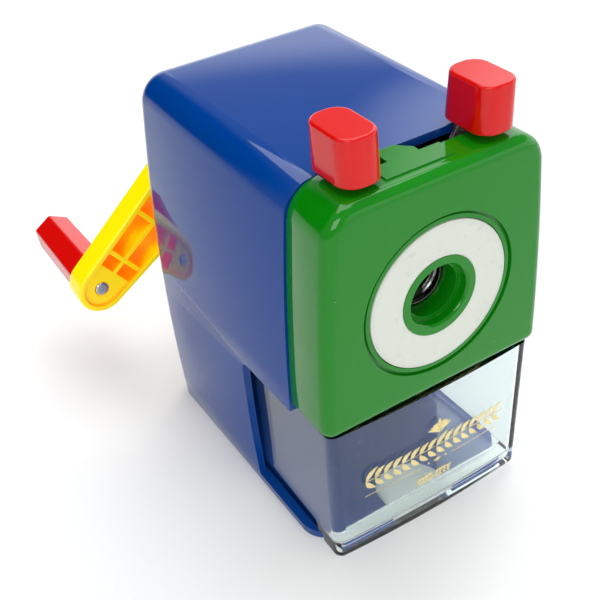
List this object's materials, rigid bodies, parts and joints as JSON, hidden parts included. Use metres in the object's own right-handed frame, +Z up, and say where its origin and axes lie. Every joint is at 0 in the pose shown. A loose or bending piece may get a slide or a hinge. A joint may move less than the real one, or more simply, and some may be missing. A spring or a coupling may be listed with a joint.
{
  "type": "pencil sharpener",
  "caption": "Hand-cranked desk pencil sharpener: box body, spring-fed front plate with two pinch knobs, helical cutter, crank and clear pull-out shavings drawer.",
  "frame": {"origin": "centre of the flat base, at table level", "axes": "+Z up, the pencil is pushed in along +Y from the front, so the crank is at +Y, and +X is to the right seen from the front"},
  "size_m": [0.0816, 0.1305, 0.1115],
  "materials": {
    "blue_plastic": "glossy moulded",
    "green_plastic": "glossy moulded",
    "red_plastic": "glossy moulded",
    "yellow_plastic": "glossy moulded",
    "clear_plastic": "clear moulded styrene",
    "white_plastic": "satin",
    "frame_plastic": "matt black moulded",
    "bush_plastic": "natural acetal",
    "rubber": "matt",
    "screw_steel": "zinc plated",
    "bright_steel": "polished",
    "sheet_steel": "plated sheet",
    "spring_steel": "drawn wire",
    "dark_steel": "hardened",
    "cast_zinc": "die cast",
    "cutter_steel": "ground and hardened"
  },
  "bodies": {
    "housing": {"body_shell": "blue_plastic", "base_floor": "blue_plastic", "rubber_feet": "rubber", "floor_screws": "screw_steel", "gear_frame": "frame_plastic", "rod_bushes": "bush_plastic", "frame_screws": "screw_steel", "ring_gear": "bush_plastic", "rear_bearing": "bush_plastic", "feed_spring_left": "spring_steel", "feed_spring_right": "spring_steel"},
    "carriage": {"front_plate": "green_plastic", "ring_label": "white_plastic", "nose_ring": "bright_steel", "slot_strip": "white_plastic", "jaw_guide": "frame_plastic", "pivot_collar": "bright_steel", "chuck_back_plate": "sheet_steel", "plate_screws": "screw_steel", "guide_rod_left": "bright_steel", "guide_rod_right": "bright_steel", "rod_clips": "spring_steel"},
    "lever_left": {"lever_plate_left": "sheet_steel", "knob_left": "red_plastic"},
    "lever_right": {"lever_plate_right": "sheet_steel", "knob_right": "red_plastic"},
    "jaw_a": {"jaw_1": "dark_steel"},
    "jaw_b": {"jaw_2": "dark_steel"},
    "jaw_c": {"jaw_3": "dark_steel"},
    "crank": {"cutter_carrier": "cast_zinc", "crank_arm": "yellow_plastic", "crank_washer": "screw_steel", "crank_screw": "screw_steel", "handle_pin": "bright_steel", "cutter_spindle": "bright_steel", "spindle_clip": "spring_steel"},
    "cutter": {"helical_cutter": "cutter_steel", "cutter_pinion": "cutter_steel"},
    "handle": {"crank_handle": "red_plastic"},
    "drawer": {"shavings_drawer": "clear_plastic"}
  },
  "joints": [
    {"name": "plate_pull", "type": "slide", "parent": "housing", "child": "carriage", "axis": [0, -1, 0], "range_m": [0, 0.034], "stiffness_N_per_m": 220, "springref_m": -0.02, "deforming": ["feed_spring_left", "feed_spring_right"]},
    {"name": "pinch_left", "type": "hinge", "parent": "carriage", "child": "lever_left", "pos_m": [0, -0.037, 0.069], "axis": [0, 1, 0], "range_deg": [0, 7.5], "stiffness_Nm_per_rad": 0.2, "springref_deg": -8.59},
    {"name": "pinch_right", "type": "hinge", "parent": "carriage", "child": "lever_right", "pos_m": [0, -0.0358, 0.069], "axis": [0, 1, 0], "range_deg": [-7.5, 0], "stiffness_Nm_per_rad": 0.2, "springref_deg": 8.59},
    {"name": "grip_a", "type": "slide", "parent": "carriage", "child": "jaw_a", "axis": [0.866, 0, 0.5], "range_m": [0, 0.0024]},
    {"name": "grip_b", "type": "slide", "parent": "carriage", "child": "jaw_b", "axis": [0, 0, -1], "range_m": [0, 0.00241]},
    {"name": "grip_c", "type": "slide", "parent": "carriage", "child": "jaw_c", "axis": [-0.866, 0, 0.5], "range_m": [0, 0.00241]},
    {"name": "crank_turn", "type": "hinge", "parent": "housing", "child": "crank", "pos_m": [0, 0.03, 0.069], "axis": [0, 1, 0], "continuous": true},
    {"name": "cutter_spin", "type": "hinge", "parent": "crank", "child": "cutter", "pos_m": [0, 0.0215, 0.0762], "axis": [0, 0.9833, -0.1822], "continuous": true},
    {"name": "handle_spin", "type": "hinge", "parent": "crank", "child": "handle", "pos_m": [-0.04358, 0.06, 0.03544], "axis": [0, 1, 0], "continuous": true},
    {"name": "drawer_pull", "type": "slide", "parent": "housing", "child": "drawer", "axis": [0, -1, 0], "range_m": [0, 0.06]}
  ],
  "couplings": [
    {"joint": "pinch_left", "follows": "grip_a", "rad_per_m": 54.5},
    {"joint": "pinch_right", "follows": "grip_a", "rad_per_m": -54.5},
    {"joint": "grip_b", "follows": "grip_a", "ratio": 1},
    {"joint": "grip_c", "follows": "grip_a", "ratio": 1},
    {"joint": "cutter_spin", "follows": "crank_turn", "ratio": -2.2857}
  ]
}
